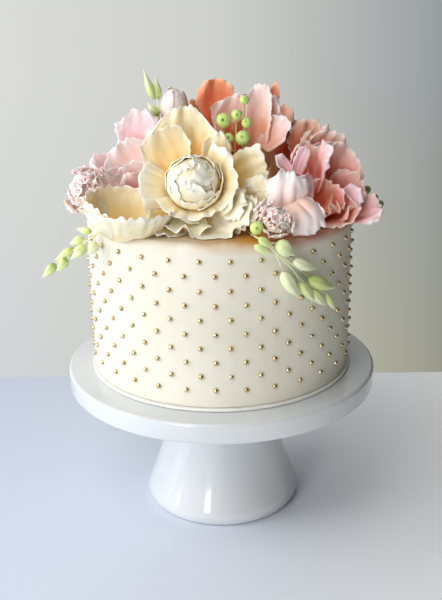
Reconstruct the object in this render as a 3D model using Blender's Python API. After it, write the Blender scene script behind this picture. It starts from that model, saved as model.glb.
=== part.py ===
"""Single-tier cake with a posy of sugar flowers, on its ceramic stand.

Metres, +Z up. The origin is the middle of the stand's flat underside and -Y is the front of the cake.
Flower rows are in millimetres from the middle of the cake's flat top, as a decorator would place them.
"""

import math

import bmesh
import bpy
from mathutils import Matrix, Vector, noise

MM = 0.001
GAP = 0.3 * MM

# ceramic stand, turned in one piece
STAND_HEIGHT = 127 * MM
PLATE_RADIUS = 128 * MM
RIM_DEPTH = 16.5 * MM
RIM_WALL = 9 * MM
PLATE_THICKNESS = 10 * MM
RIM_ROUNDING = 2.5 * MM
NECK_RADIUS = 39.5 * MM
FOOT_RADIUS = 66 * MM
FOOT_BULGE_HEIGHT = 9 * MM
FOOT_CONTACT_RADIUS = 60 * MM
FOOT_FLARE = 1.6
STAND_SIDES = 36

# thin board, then the cake itself
BOARD_RADIUS = 108 * MM
BOARD_THICKNESS = 2.2 * MM
BOARD_SIDES = 48
CAKE_RADIUS = 106 * MM
CAKE_TOP = STAND_HEIGHT + 128 * MM
TOP_ROUNDING = 6 * MM
CAKE_FOOT = STAND_HEIGHT + BOARD_THICKNESS + 2 * GAP

# gold sugar pearls set in a diamond lattice round the wall
PEARL_COLUMNS = 30
PEARL_ROWS = 10
PEARL_SIDES = 5
PEARL_RADIUS = 2.1 * MM
PEARL_HEIGHT = 1.7 * MM
TOP_PEARL_ROW = STAND_HEIGHT + 115.7 * MM
PEARL_ROW_PITCH = 11 * MM
PEARL_TURN = math.radians(3.9)

PETAL_THICKNESS = 1.3 * MM
WIRE_RADIUS = 0.7 * MM
BUD_SIDES = 5
STEM_SIDES = 7
BLOSSOM_PETALS = 5

COLOURS = {
    "ceramic": ((0.86, 0.87, 0.88), 0.12),
    "white_paste": ((0.9, 0.89, 0.86), 0.4),
    "ivory_paste": ((0.88, 0.84, 0.74), 0.42),
    "ivory_petal": ((0.9, 0.82, 0.6), 0.55),
    "pink_petal": ((0.88, 0.56, 0.56), 0.55),
    "blush_petal": ((0.9, 0.66, 0.6), 0.55),
    "coral_petal": ((0.82, 0.36, 0.27), 0.55),
    "blossom_pink": ((0.88, 0.62, 0.62), 0.6),
    "berry_green": ((0.55, 0.66, 0.24), 0.35),
    "bud_green": ((0.64, 0.72, 0.38), 0.45),
    "leaf_green": ((0.3, 0.4, 0.16), 0.5),
}


def material(name):
    found = bpy.data.materials.get(name)
    if found:
        return found
    colour, roughness = COLOURS[name]
    made = bpy.data.materials.new(name)
    made.use_nodes = True
    shader = made.node_tree.nodes["Principled BSDF"]
    shader.inputs["Base Color"].default_value = (*colour, 1)
    shader.inputs["Roughness"].default_value = roughness
    made.diffuse_color = (*colour, 1)
    return made


def add_object(name, bm, paint, smooth=40):
    """A named object from a bmesh, with its faces pointing out."""
    bmesh.ops.recalc_face_normals(bm, faces=bm.faces)
    mesh = bpy.data.meshes.new(name)
    bm.to_mesh(mesh)
    bm.free()
    mesh.shade_smooth()
    mesh.set_sharp_from_angle(angle=math.radians(smooth))
    mesh.materials.append(material(paint))
    made = bpy.data.objects.new(name, mesh)
    bpy.context.collection.objects.link(made)
    return made


def on_wall(radius, turn, height):
    return Vector((radius * math.sin(turn), -radius * math.cos(turn), height))


def from_top(x, y, z):
    """A place given in mm from the middle of the cake's top."""
    return Vector((x * MM, y * MM, CAKE_TOP + z * MM))


def turned(profile, sides):
    """A closed solid turned round Z from (radius, height) points that start and end on the axis."""
    bm = bmesh.new()
    rings = []
    for radius, height in profile:
        if radius == 0:
            rings.append([bm.verts.new((0, 0, height))])
            continue
        turns = [math.tau * k / sides for k in range(sides)]
        rings.append([bm.verts.new(on_wall(radius, turn, height)) for turn in turns])
    for low, high in zip(rings, rings[1:]):
        for k in range(sides):
            after = k + 1
            corners = [low[k % len(low)], low[after % len(low)], high[after % len(high)], high[k % len(high)]]
            bm.faces.new(list(dict.fromkeys(corners)))
    return bm


def arc(centre, radius, start, end, steps):
    """Points (radius, height) along an arc about centre, angles in degrees."""
    angles = [math.radians(start + (end - start) * k / steps) for k in range(steps + 1)]
    return [(centre[0] + radius * math.cos(a), centre[1] + radius * math.sin(a)) for a in angles]


# ---------------------------------------------------------------- stand, board and cake


def stand_profile():
    """Half section: plate top, deep rim, recess under the plate, flared foot, flat underside."""
    rim_foot = STAND_HEIGHT - RIM_DEPTH
    recess = STAND_HEIGHT - PLATE_THICKNESS
    inner = PLATE_RADIUS - RIM_WALL
    points = [(0, STAND_HEIGHT)]
    points += arc((PLATE_RADIUS - RIM_ROUNDING, STAND_HEIGHT - RIM_ROUNDING), RIM_ROUNDING, 90, 0, 2)
    points += arc((PLATE_RADIUS - RIM_ROUNDING, rim_foot + RIM_ROUNDING), RIM_ROUNDING, 0, -90, 1)
    points += [(inner, rim_foot), (inner - 3 * MM, recess)]
    points += [(NECK_RADIUS + 5 * MM, recess)]
    neck_top = recess - 4 * MM
    steps = 4
    for k in range(steps + 1):
        part = k / steps
        radius = NECK_RADIUS + (FOOT_RADIUS - NECK_RADIUS) * part**FOOT_FLARE
        points.append((radius, neck_top + (FOOT_BULGE_HEIGHT - neck_top) * part))
    reach = FOOT_RADIUS - FOOT_CONTACT_RADIUS
    for k in range(1, 3):
        turn = math.radians(45 * k)
        height = FOOT_BULGE_HEIGHT * (1 - math.sin(turn))
        points.append((FOOT_CONTACT_RADIUS + reach * math.cos(turn), height))
    return points + [(0, 0)]


def build_stand():
    add_object("cake_stand", turned(stand_profile(), STAND_SIDES), "ceramic", 50)


def build_board():
    low = STAND_HEIGHT + GAP
    top = low + BOARD_THICKNESS
    profile = [(0, top), (BOARD_RADIUS, top), (BOARD_RADIUS, low), (0, low)]
    add_object("cake_board", turned(profile, BOARD_SIDES), "white_paste")


def pearl(bm, turn, height, left, right, above, below):
    """One diamond of the wall with a faceted pearl standing out of its middle."""
    half_angle = PEARL_RADIUS / CAKE_RADIUS
    base = []
    edge_corners = []
    for k in range(PEARL_SIDES):
        a = math.tau * k / PEARL_SIDES + math.pi / 2
        place = on_wall(CAKE_RADIUS, turn + half_angle * math.cos(a), height + PEARL_RADIUS * math.sin(a))
        base.append(bm.verts.new(place))
        middle = a + math.pi / PEARL_SIDES
        quarter = round(middle / (math.pi / 2)) % 4
        edge_corners.append((right, above, left, below)[quarter])
    crown = bm.verts.new(on_wall(CAKE_RADIUS + PEARL_HEIGHT, turn, height))
    for k in range(PEARL_SIDES):
        after = (k + 1) % PEARL_SIDES
        bm.faces.new((crown, base[k], base[after]))
        bm.faces.new((edge_corners[k], base[k], base[after]))
        if edge_corners[k - 1] is not edge_corners[k]:
            bm.faces.new((edge_corners[k - 1], edge_corners[k], base[k]))


def build_cake():
    """The covered cake: pearl diamonds round the wall, a rounded top edge and flat ends."""
    bm = bmesh.new()
    slots = 2 * PEARL_COLUMNS
    step = math.tau / slots
    wall_top = CAKE_TOP - TOP_ROUNDING

    def turn_of(slot):
        return slot * step + PEARL_TURN

    top_ring = [bm.verts.new(on_wall(CAKE_RADIUS, turn_of(s), wall_top)) for s in range(slots)]
    low_ring = [bm.verts.new(on_wall(CAKE_RADIUS, turn_of(s), CAKE_FOOT)) for s in range(slots)]
    corners = {}
    for row in range(PEARL_ROWS):
        height = TOP_PEARL_ROW - row * PEARL_ROW_PITCH
        for slot in range((row + 1) % 2, slots, 2):
            corners[row, slot] = bm.verts.new(on_wall(CAKE_RADIUS, turn_of(slot), height))

    def corner(row, slot):
        slot %= slots
        if row < 0:
            return top_ring[slot]
        if row >= PEARL_ROWS:
            return low_ring[slot]
        return corners[row, slot]

    for row in range(PEARL_ROWS):
        height = TOP_PEARL_ROW - row * PEARL_ROW_PITCH
        for slot in range(row % 2, slots, 2):
            sides = corner(row, slot - 1), corner(row, slot + 1)
            pearl(bm, turn_of(slot), height, *sides, corner(row - 1, slot), corner(row + 1, slot))
    for slot in range(slots):
        if slot % 2:
            upper = corners[0, slot]
            bm.faces.new((top_ring[slot - 1], upper, top_ring[slot]))
            bm.faces.new((top_ring[slot], upper, top_ring[(slot + 1) % slots]))
    last = PEARL_ROWS - 1
    for slot in range((last + 1) % 2, slots, 2):
        lower = corners[last, slot]
        bm.faces.new((low_ring[slot - 1], low_ring[slot], lower))
        bm.faces.new((low_ring[slot], low_ring[(slot + 1) % slots], lower))
    ring = top_ring
    for radius, height in arc((CAKE_RADIUS - TOP_ROUNDING, wall_top), TOP_ROUNDING, 30, 90, 2):
        upper = [bm.verts.new(on_wall(radius, turn_of(s), height)) for s in range(slots)]
        for s in range(slots):
            bm.faces.new((ring[s], ring[(s + 1) % slots], upper[(s + 1) % slots], upper[s]))
        ring = upper
    bm.faces.new(ring)
    bm.faces.new(low_ring)
    add_object("cake_body", bm, "ivory_paste", 35)


def cake_keep_out():
    """The room that the cake takes, pearls and gap included, for trimming what lies on it."""
    side = CAKE_RADIUS + PEARL_HEIGHT + GAP
    rounding = TOP_ROUNDING + PEARL_HEIGHT
    top = CAKE_TOP + GAP
    edge = arc((side - rounding, top - rounding), rounding, 90, 0, 4)
    profile = [(0, top)] + edge + [(side, STAND_HEIGHT), (0, STAND_HEIGHT)]
    return add_object("cake_keep_out", turned(profile, 2 * PEARL_COLUMNS), "white_paste")


# ---------------------------------------------------------------- joining and trimming


def boolean(target, operand, operation):
    """Applies one exact Boolean to target, with an object or a collection."""
    modifier = target.modifiers.new("boolean", "BOOLEAN")
    modifier.operation = operation
    modifier.solver = "EXACT"
    modifier.use_self = True
    if isinstance(operand, bpy.types.Collection):
        modifier.operand_type = "COLLECTION"
        modifier.collection = operand
    else:
        modifier.object = operand
    scene = bpy.context.evaluated_depsgraph_get()
    result = bpy.data.meshes.new_from_object(target.evaluated_get(scene))
    target.modifiers.clear()
    target.data = result


def remove(*objects):
    for each in objects:
        bpy.data.objects.remove(each)


def fused(name, pieces, paint):
    """One solid from overlapping pieces."""
    whole, *rest = pieces
    whole.name = name
    if rest:
        group = bpy.data.collections.new(name)
        for piece in rest:
            group.objects.link(piece)
        boolean(whole, group, "UNION")
        remove(*rest)
        bpy.data.collections.remove(group)
    whole.data.materials.clear()
    whole.data.materials.append(material(paint))
    keep_largest(whole)
    return whole


def keep_largest(whole):
    """Drops the loose scraps that a trim leaves."""
    bm = bmesh.new()
    bm.from_mesh(whole.data)
    islands = []
    left = set(bm.verts)
    while left:
        island = {left.pop()}
        edge = list(island)
        while edge:
            near = [e.other_vert(v) for v in edge for e in v.link_edges]
            edge = [v for v in dict.fromkeys(near) if v in left]
            left.difference_update(edge)
            island.update(edge)
        islands.append(island)
    islands.sort(key=len)
    scraps = [v for island in islands[:-1] for v in island]
    bmesh.ops.delete(bm, geom=scraps, context="VERTS")
    bm.to_mesh(whole.data)
    bm.free()


def settle(whole):
    """Merges the sliver faces that trimming leaves, where the solid stays closed, and makes triangles."""
    bm = bmesh.new()
    bm.from_mesh(whole.data)
    bmesh.ops.dissolve_degenerate(bm, edges=bm.edges, dist=0.02 * MM)
    bmesh.ops.dissolve_limit(bm, angle_limit=math.radians(2), verts=bm.verts, edges=bm.edges)
    bmesh.ops.triangulate(bm, faces=bm.faces)
    if not all(e.is_manifold for e in bm.edges):
        bm.clear()
        bm.from_mesh(whole.data)
        bmesh.ops.triangulate(bm, faces=bm.faces)
    bm.to_mesh(whole.data)
    bm.free()
    keep_largest(whole)


def box_of(thing):
    corners = [thing.matrix_world @ Vector(c) for c in thing.bound_box]
    return [(min(c[k] for c in corners), max(c[k] for c in corners)) for k in range(3)]


def near(one, other):
    return all(a[0] < b[1] + GAP and b[0] < a[1] + GAP for a, b in zip(box_of(one), box_of(other)))


def trim(piece, neighbours):
    """Cuts piece back to a small gap from each neighbour that it would cross."""
    for other in neighbours:
        if not near(piece, other):
            continue
        bm = bmesh.new()
        bm.from_mesh(other.data)
        bm.normal_update()
        moves = [(v, v.normal * 1.2 * GAP) for v in bm.verts]
        for v, move in moves:
            v.co += move
        cutter = add_object("cutter", bm, "white_paste")
        boolean(piece, cutter, "DIFFERENCE")
        remove(cutter)
        keep_largest(piece)


# ---------------------------------------------------------------- petals, buds and wires


def sheet(place, rows, columns, thickness):
    """A thin solid with a closed rim from place(u, v): u from 0 to 1 along it, v from -1 to 1 across."""
    bm = bmesh.new()
    bmesh.ops.create_grid(bm, x_segments=columns, y_segments=rows, size=1)
    for v in bm.verts:
        v.co = place((v.co.y + 1) / 2, v.co.x)
    bmesh.ops.triangulate(bm, faces=bm.faces)
    bm.normal_update()
    front = list(bm.faces)
    rim = [e for e in bm.edges if e.is_boundary]
    copy = bmesh.ops.duplicate(bm, geom=front)
    back_of = copy["vert_map"]
    shifts = [(v, v.normal * thickness / 2) for v in {v for f in front for v in f.verts}]
    for v, shift in shifts:
        back_of[v].co -= shift
        v.co += shift
    backs = [g for g in copy["geom"] if isinstance(g, bmesh.types.BMFace)]
    bmesh.ops.reverse_faces(bm, faces=backs)
    for e in rim:
        a, b = e.verts
        bm.faces.new((a, b, back_of[b], back_of[a]))
    return bm


def petal(heart, looks, tip, width, belly, cup, frill=2, twist=0, rows=3, columns=4, seed=0):
    """A cupped, frilled petal from a flower's heart to its tip.

    Lengths in mm. belly is how far it bows away from where the flower looks, cup the angle that its
    sides turn in and frill the wave of its rim.
    """
    tip = from_top(*tip)
    root = heart.lerp(tip, 0.14)
    length = (tip - root).length
    along = (tip - root).normalized()
    inward = (looks - looks.dot(along) * along).normalized()
    inward = Matrix.Rotation(math.radians(twist), 3, along) @ inward
    side = along.cross(inward)
    bend = math.radians(max(cup, 1))

    def place(u, v):
        reach = u * (1 - 0.18 * abs(v) ** 2.6)
        wave = noise.noise(Vector((v * 2.4, u * 1.5, seed * 7.3)))
        half = width * MM / 2 * (0.13 + 0.87 * math.sin(min(1, reach / 0.66) * math.pi / 2))
        half *= 1 - 0.2 * max(0, reach - 0.7) / 0.3
        across = half / bend * math.sin(v * bend)
        forward = half / bend * (1 - math.cos(v * bend))
        bow = belly * MM * 4 * reach * (1 - reach)
        rim = max(u**3, abs(v) ** 3 * u)
        forward += frill * MM * rim * wave * 1.6 - bow
        far = length * (reach + 0.05 * rim * noise.noise(Vector((v * 3.1, 9.1, seed * 3.7))))
        return stay_above(root + along * far + side * across + inward * forward)

    return add_object("petal", sheet(place, rows, columns, PETAL_THICKNESS), "ivory_petal")


def stay_above(place):
    """Lifts a point that would sink into the cake's top."""
    floor = CAKE_TOP + GAP + PETAL_THICKNESS
    if math.hypot(place.x, place.y) < CAKE_RADIUS - TOP_ROUNDING and place.z < floor:
        place.z = floor
    return place


def pointing(direction):
    return Vector((0, 0, 1)).rotation_difference(direction).to_matrix().to_4x4()


def spindle(start, end, radius):
    """A pointed bud between two places, round in section and widest near its base."""
    bm = turned([(0, 0), (1.0, 0.3), (0.72, 0.68), (0, 1)], BUD_SIDES)
    span = end - start
    shape = Matrix.Translation(start) @ pointing(span) @ Matrix.Diagonal((radius, radius, span.length, 1))
    bm.transform(shape)
    return add_object("bud", bm, "bud_green")


def wire(points, radius=WIRE_RADIUS, sides=4):
    """A wire through the given places, with closed ends."""
    bm = bmesh.new()
    rings = []
    for k, place in enumerate(points):
        ahead = points[min(k + 1, len(points) - 1)] - points[max(k - 1, 0)]
        frame = Matrix.Translation(place) @ pointing(ahead)
        turns = [math.tau * s / sides for s in range(sides)]
        rings.append([bm.verts.new(frame @ (on_wall(radius, turn, 0))) for turn in turns])
    for a, b in zip(rings, rings[1:]):
        for s in range(sides):
            bm.faces.new((a[s], a[(s + 1) % sides], b[(s + 1) % sides], b[s]))
    bm.faces.new(rings[0])
    bm.faces.new(rings[-1])
    return add_object("wire", bm, "bud_green")


def ball(centre, radius, sides=7, rings=5, squash=1.0):
    bm = bmesh.new()
    bmesh.ops.create_uvsphere(bm, u_segments=sides, v_segments=rings, radius=radius)
    bm.transform(Matrix.Translation(centre) @ Matrix.Diagonal((1, 1, squash, 1)))
    return add_object("ball", bm, "ivory_petal")


def stem(heart, radius, foot_radius):
    """The back of a flower: a cone from its heart straight down to the cake's top."""
    floor = CAKE_TOP + GAP
    height = heart.z - floor
    crown = [(radius, height), (0.7 * radius, height + 0.8 * radius), (0, height + radius)]
    bm = turned([(0, 0), (foot_radius, 0)] + crown, STEM_SIDES)
    bm.transform(Matrix.Translation((heart.x, heart.y, floor)))
    return add_object("stem", bm, "leaf_green")


# ---------------------------------------------------------------- the flowers


def flower(name, paint, heart, looks, petals, core=9, ring=()):
    """Petals round a heart, on a stem. A row holds tip, width, belly and cup, then any named extras."""
    heart = from_top(*heart)
    looks = Vector(looks).normalized()
    pieces = [stem(heart, core * MM, 0.7 * core * MM)]
    for count, (tip, width, belly, cup, extra) in enumerate(petals):
        pieces.append(petal(heart, looks, tip, width, belly, cup, seed=count + len(name), **extra))
    pieces += list(ring)
    return fused(name, pieces, paint)


IVORY_HEART = (-19, -42, 25)
IVORY_LOOKS = (0.0, -0.87, 0.48)


def ivory_peony():
    """The big ivory peony in front, its middle a closed ball of petals."""
    looks = Vector(IVORY_LOOKS).normalized()
    closed_bud = ball(from_top(*IVORY_HEART) + 20 * MM * looks, 21 * MM, 10, 7)
    rows = [
        ((-27, -32, 85), 64, 8, 30, dict(columns=6, rows=4, frill=5)),
        ((35, -48, 48), 52, 7, 35, dict(columns=5, rows=4, frill=4)),
        ((16, -68, 30), 38, 6, 45, {}),
        ((6, -94, 4), 54, 4, 25, dict(columns=5, frill=4)),
        ((-56, -88, 3), 46, 4, 25, dict(frill=4)),
        ((-100, -62, 17), 56, 9, 45, dict(columns=5, rows=4, frill=5)),
        ((-57, -58, 32), 36, 5, 35, {}),
    ]
    return flower("ivory_peony", "ivory_petal", IVORY_HEART, IVORY_LOOKS, rows, core=10, ring=[closed_bud])


def coral_peony():
    """The coral peony on the right, open, with frilled inner petals."""
    rows = [
        ((70, 4, 72), 54, 6, 30, dict(frill=6, columns=5)),
        ((93, 0, 62), 42, 6, 35, dict(frill=4)),
        ((111, -14, 47), 54, 8, 40, dict(frill=4, columns=5)),
        ((125, -32, 7), 48, 5, 30, dict(frill=4)),
        ((94, -62, 3), 50, 5, 25, dict(frill=4)),
        ((46, -36, 50), 36, 6, 40, {}),
        ((104, 36, 26), 48, 6, 35, {}),
        ((77, -36, 54), 28, 5, 40, dict(columns=3)),
        ((92, -40, 34), 26, 5, 40, dict(columns=3)),
    ]
    return flower("coral_peony", "coral_petal", (68, -12, 20), (0.35, -0.6, 0.72), rows, core=11)


def pink_peony():
    """The pale pink peony on the left, seen from its side."""
    rows = [
        ((-65, -4, 80), 42, 6, 40, dict(rows=4, frill=3)),
        ((-92, -14, 54), 44, 7, 40, dict(frill=3)),
        ((-104, -8, 42), 32, 5, 30, {}),
        ((-99, -36, 12), 40, 5, 30, {}),
        ((-94, 30, 32), 48, 6, 35, {}),
        ((-70, -22, 44), 28, 5, 45, dict(columns=3)),
    ]
    return flower("pink_peony", "pink_petal", (-56, -4, 20), (-0.55, -0.4, 0.74), rows, core=10)


def blush_peony():
    """The tall flower at the middle of the back, above the others."""
    rows = [
        ((-10, 38, 101), 40, 6, 35, dict(rows=4, frill=4)),
        ((15, 20, 90), 36, 6, 30, dict(frill=4)),
        ((42, 14, 99), 38, 6, 35, dict(rows=4, twist=30, frill=3)),
        ((60, 28, 84), 30, 5, 30, {}),
        ((55, 0, 74), 32, 5, 35, {}),
        ((46, 62, 66), 44, 7, 35, {}),
        ((0, 70, 64), 46, 7, 35, {}),
        ((-20, 2, 60), 38, 6, 35, {}),
    ]
    return flower("blush_peony", "blush_petal", (22, 26, 46), (0.05, -0.2, 0.98), rows, core=10)


def front_pink_petal():
    rows = [((71, -70, 41), 56, -7, 25, dict(frill=4, rows=4, columns=5, twist=-15))]
    return flower("front_pink_petal", "pink_petal", (38, -76, 6), (0.1, -0.9, 0.4), rows, core=4)


def rear_flower(name, paint, heart, looks, radius, lift, count):
    """A full flower at the back, its petals evenly round its heart."""
    axis = Vector(looks).normalized()
    across = axis.orthogonal().normalized()
    rows = []
    for k in range(count):
        spoke = Matrix.Rotation(math.tau * (k + 0.3) / count, 3, axis) @ across
        tip = Vector(heart) + radius * spoke + lift * axis
        tip.z = max(tip.z, 3)
        rows.append((tuple(tip), 1.15 * radius, 7, 35, dict(columns=3, frill=4)))
    centre = ball(from_top(*(Vector(heart) + 9 * axis)), 12 * MM, 6, 4)
    return flower(name, paint, heart, looks, rows, core=9, ring=[centre])


def rear_pink_peony():
    return rear_flower("rear_pink_peony", "pink_petal", (-42, 44, 20), (-0.35, 0.66, 0.66), 46, 14, 5)


def rear_ivory_peony():
    return rear_flower("rear_ivory_peony", "ivory_petal", (50, 62, 18), (0.42, 0.7, 0.58), 42, 14, 5)


def blossom_cluster(name, places, size, foot):
    """Tiny blossoms bunched on one core, each a shallow cone, on a wire to the cake's top."""
    middle = sum((from_top(*p) for p in places), Vector()) / len(places)
    end = from_top(*foot, 0) + Vector((0, 0, GAP))
    pieces = [ball(middle, size * MM, 6, 4), wire([end, middle], 2 * WIRE_RADIUS)]
    for number, spot in enumerate(places):
        centre = from_top(*spot)
        bm = bmesh.new()
        tip = bm.verts.new((0, 0, -2 * size * MM))
        turns = [math.tau * k / BLOSSOM_PETALS + number for k in range(BLOSSOM_PETALS)]
        rim = [bm.verts.new(on_wall(0.8 * size * MM, turn, 0)) for turn in turns]
        bm.faces.new(rim)
        for k in range(BLOSSOM_PETALS):
            bm.faces.new((rim[k], rim[(k + 1) % BLOSSOM_PETALS], tip))
        bm.transform(Matrix.Translation(centre) @ pointing(centre - middle))
        pieces.append(add_object("blossom", bm, "blossom_pink"))
    return fused(name, pieces, "blossom_pink")


LEFT_BLOSSOMS = [
    (-95, -42, 30), (-104, -32, 30), (-93, -30, 38), (-110, -38, 20), (-102, -46, 18), (-113, -30, 12),
]
RIGHT_BLOSSOMS = [(33, -87, 20), (42, -85, 23), (49, -89, 14), (37, -95, 12), (45, -95, 8)]


def blossoms_left():
    return blossom_cluster("blossoms_left", LEFT_BLOSSOMS, 6, (-84, -34))


def blossoms_right():
    return blossom_cluster("blossoms_right", RIGHT_BLOSSOMS, 5.5, (37, -82))


def pink_bud():
    centre = from_top(-36, 9, 85)
    foot = from_top(-34, 14, 0) + Vector((0, 0, GAP))
    closed = ball(centre, 10 * MM, 8, 6, 1.35)
    return fused("pink_bud", [closed, wire([foot, centre], 1.2 * MM)], "blossom_pink")


# name, centre, radius and where the wire meets the cake's top, in mm
BERRIES = [
    ("berry_high_left", (4, -22, 74), 5.6, (6, -12), "berry_green"),
    ("berry_high_mid", (14, -22, 78), 4.2, (10, -9), "berry_green"),
    ("berry_high_right", (21.5, -22, 72), 4.0, (17, -9), "berry_green"),
    ("berry_low_left", (7.5, -26, 61), 4.2, (8, -16), "berry_green"),
    ("berry_low_right", (18.5, -26, 61), 5.8, (15, -15), "berry_green"),
    ("berry_top", (20, -14, 88), 3.6, (19, -4), "berry_green"),
    ("berry_front", (26, -98, 10), 4.7, (22, -86), "berry_green"),
    ("berry_dark_high", (119, 6, 13), 3.3, (93, 6), "leaf_green"),
    ("berry_dark_mid", (124, -2, 8), 3.3, (94, 0), "leaf_green"),
    ("berry_dark_low", (130, 6, 1), 3.3, (96, 11), "leaf_green"),
]


def berries():
    """Round berries, each on its own wire down to the cake's top."""
    made = []
    for name, spot, radius, foot, paint in BERRIES:
        end = from_top(*foot, 0) + Vector((0, 0, GAP))
        centre = from_top(*spot)
        made.append(fused(name, [ball(centre, radius * MM), wire([end, centre], sides=3)], paint))
    return made


def spray(name, stalk, buds):
    """Pointed buds along a bent stalk. A bud row holds where it leaves the stalk, base, tip and radius."""
    points = [from_top(*p) for p in stalk]
    pieces = [wire(points)]
    for leaves, base, tip, radius in buds:
        start = from_top(*base)
        end = from_top(*tip)
        pieces.append(spindle(start, end, radius * MM))
        pieces.append(wire([points[leaves], start.lerp(end, 0.2)], 0.5 * MM, 3))
    return fused(name, pieces, "bud_green")


def bud_spray_right():
    stalk = [(21, -78, 1.5), (26, -101, 4), (31, -109, 3)]
    stalk += [(38, -109, -4), (51, -102, -19), (58, -98.5, -29)]
    buds = [
        (2, (27, -109, 6), (38, -108, -2), 3.1),
        (2, (24, -110, 1), (37, -109, -6), 2.9),
        (3, (41, -107, 2), (54, -103, -9), 6.0),
        (3, (52, -102, -13), (71, -90, -23), 4.4),
        (4, (44, -106, -20), (57, -99, -42), 5.5),
        (4, (64, -96, -28), (86, -77, -42), 5.2),
        (5, (57, -100, -30), (70, -92, -48), 3.4),
        (5, (66, -94, -38), (78, -85, -53), 3.8),
        (5, (77, -86, -43), (86, -77, -60), 2.6),
    ]
    return spray("bud_spray_right", stalk, buds)


def bud_spray_left():
    stalk = [(-72, -44, 1.5), (-84, -56, 2), (-93, -63, -4)]
    stalk += [(-100, -66, -8), (-110, -68, -14), (-122, -69, -23)]
    buds = [
        (2, (-95, -61, -1), (-107, -58, 1), 2.9),
        (2, (-91, -66, -8), (-97, -74, -15), 4.1),
        (3, (-101, -63, -5), (-112, -62, -10), 3.5),
        (3, (-99, -69, -9), (-110, -72, -19), 4.1),
        (4, (-108, -66, -12), (-123, -67, -21), 3.5),
        (4, (-113, -70, -19), (-121, -72, -28), 3.8),
        (5, (-122, -69, -23), (-132, -72, -33), 3.7),
    ]
    return spray("bud_spray_left", stalk, buds)


def bud_spray_top():
    stalk = [(-43, 14, 0.9), (-46, 4, 66), (-47, 3, 89)]
    buds = [
        (2, (-49, 3, 87), (-57, 3, 110), 3.4),
        (2, (-46, 4, 87), (-48, 5, 105), 3.1),
        (1, (-46, 2, 75), (-55, 2, 85), 3.5),
    ]
    return spray("bud_spray_top", stalk, buds)


def build():
    for old in list(bpy.data.objects):
        bpy.data.objects.remove(old)
    build_stand()
    build_board()
    build_cake()
    keep_out = cake_keep_out()
    wired = [pink_bud(), *berries(), bud_spray_right(), bud_spray_left(), bud_spray_top()]
    done = [keep_out]
    for piece in wired:
        trim(piece, done)
        done.append(piece)
    flowers = [ivory_peony, front_pink_petal, coral_peony, pink_peony, blush_peony]
    flowers += [blossoms_left, blossoms_right, rear_pink_peony, rear_ivory_peony]
    for make in flowers:
        piece = make()
        trim(piece, done)
        done.append(piece)
    remove(keep_out)
    for piece in done[1:]:
        settle(piece)


build()
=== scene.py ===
"""The finished look of the single-tier cake: sugar flowers, gold pearls, smooth paste and a glazed stand.

Flower rows are in millimetres from the middle of the cake's flat top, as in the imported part.
"""

import math

import bmesh
import bpy
from mathutils import Matrix, Vector, noise


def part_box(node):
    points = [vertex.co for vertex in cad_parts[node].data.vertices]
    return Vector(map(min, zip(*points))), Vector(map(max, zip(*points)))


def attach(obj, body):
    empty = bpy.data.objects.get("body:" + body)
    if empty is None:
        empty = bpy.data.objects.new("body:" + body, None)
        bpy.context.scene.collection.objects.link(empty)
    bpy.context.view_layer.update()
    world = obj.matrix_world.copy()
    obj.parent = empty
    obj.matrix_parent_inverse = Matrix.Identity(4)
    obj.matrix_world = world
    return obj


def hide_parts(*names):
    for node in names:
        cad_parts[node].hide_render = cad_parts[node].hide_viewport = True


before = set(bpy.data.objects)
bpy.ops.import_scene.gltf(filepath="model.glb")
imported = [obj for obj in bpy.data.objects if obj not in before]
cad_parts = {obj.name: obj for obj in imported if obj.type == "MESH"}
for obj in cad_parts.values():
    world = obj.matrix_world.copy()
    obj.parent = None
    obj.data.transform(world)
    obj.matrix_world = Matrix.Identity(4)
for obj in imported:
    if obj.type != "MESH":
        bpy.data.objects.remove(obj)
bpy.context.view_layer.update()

MM = 0.001
UP = Vector((0, 0, 1))
CAKE_FOOT, CAKE_TOP = (corner.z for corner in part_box("cake_body"))
STAND_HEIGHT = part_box("cake_stand")[1].z
PLATE_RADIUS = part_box("cake_stand")[1].x
BOARD_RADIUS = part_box("cake_board")[1].x
BOARD_LOW, BOARD_HIGH = (corner.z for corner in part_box("cake_board"))
CAKE_RADIUS = 106 * MM
TOP_ROUNDING = 6 * MM

# gold pearls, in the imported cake's lattice
PEARL_COLUMNS = 30
PEARL_ROWS = 10
PEARL_RADIUS = 2.1 * MM
PEARL_SET = 0.1 * MM
TOP_PEARL_ROW = STAND_HEIGHT + 115.7 * MM
PEARL_ROW_PITCH = 11 * MM
PEARL_TURN = math.radians(3.9)
PEARL_DRIFT = 0.5 * MM
PEARL_LUMPS = 0.12

# what puts pearls and berries' eyes a little out of true, the same way each run
DRIFT_SEED = 11

# petals: how thick their paste is, where it starts to thin out and what share of it is left at the rim
PASTE_THICKNESS = 1.1 * MM
BLOSSOM_THICKNESS = 0.6 * MM
THIN_FROM = 0.7
PASTE_RIM_SHARE = 0.35
# how far above the cake's top they stay
PETAL_ROOM = 1 * MM
# where along a petal it is widest, and where its tip starts to curl
WIDEST = 0.62
CURL_FROM = 0.6
# how long a petal's slow folds, fine folds, ribs and the lobes of its rim are, in mm
FOLD_WIDTH, FOLD_LENGTH = 8.5, 24
RUFFLE_WIDTH, RUFFLE_LENGTH = 4, 7
RIB_WIDTH = 1.7
LOBE = 6.5
TIP_LOBE = 6

# how far above the cake's flat top stems and wires start, in mm
STEM_FOOT = 0.4
WIRE_FOOT = 0.5


# ---------------------------------------------------------------- colours and finishes


def srgb(red, green, blue):
    """A colour read off a colour chart (0 to 255), as the shader wants it."""

    def linear(c):
        c /= 255
        return c / 12.92 if c <= 0.04045 else ((c + 0.055) / 1.055) ** 2.4

    return (linear(red), linear(green), linear(blue), 1)


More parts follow.
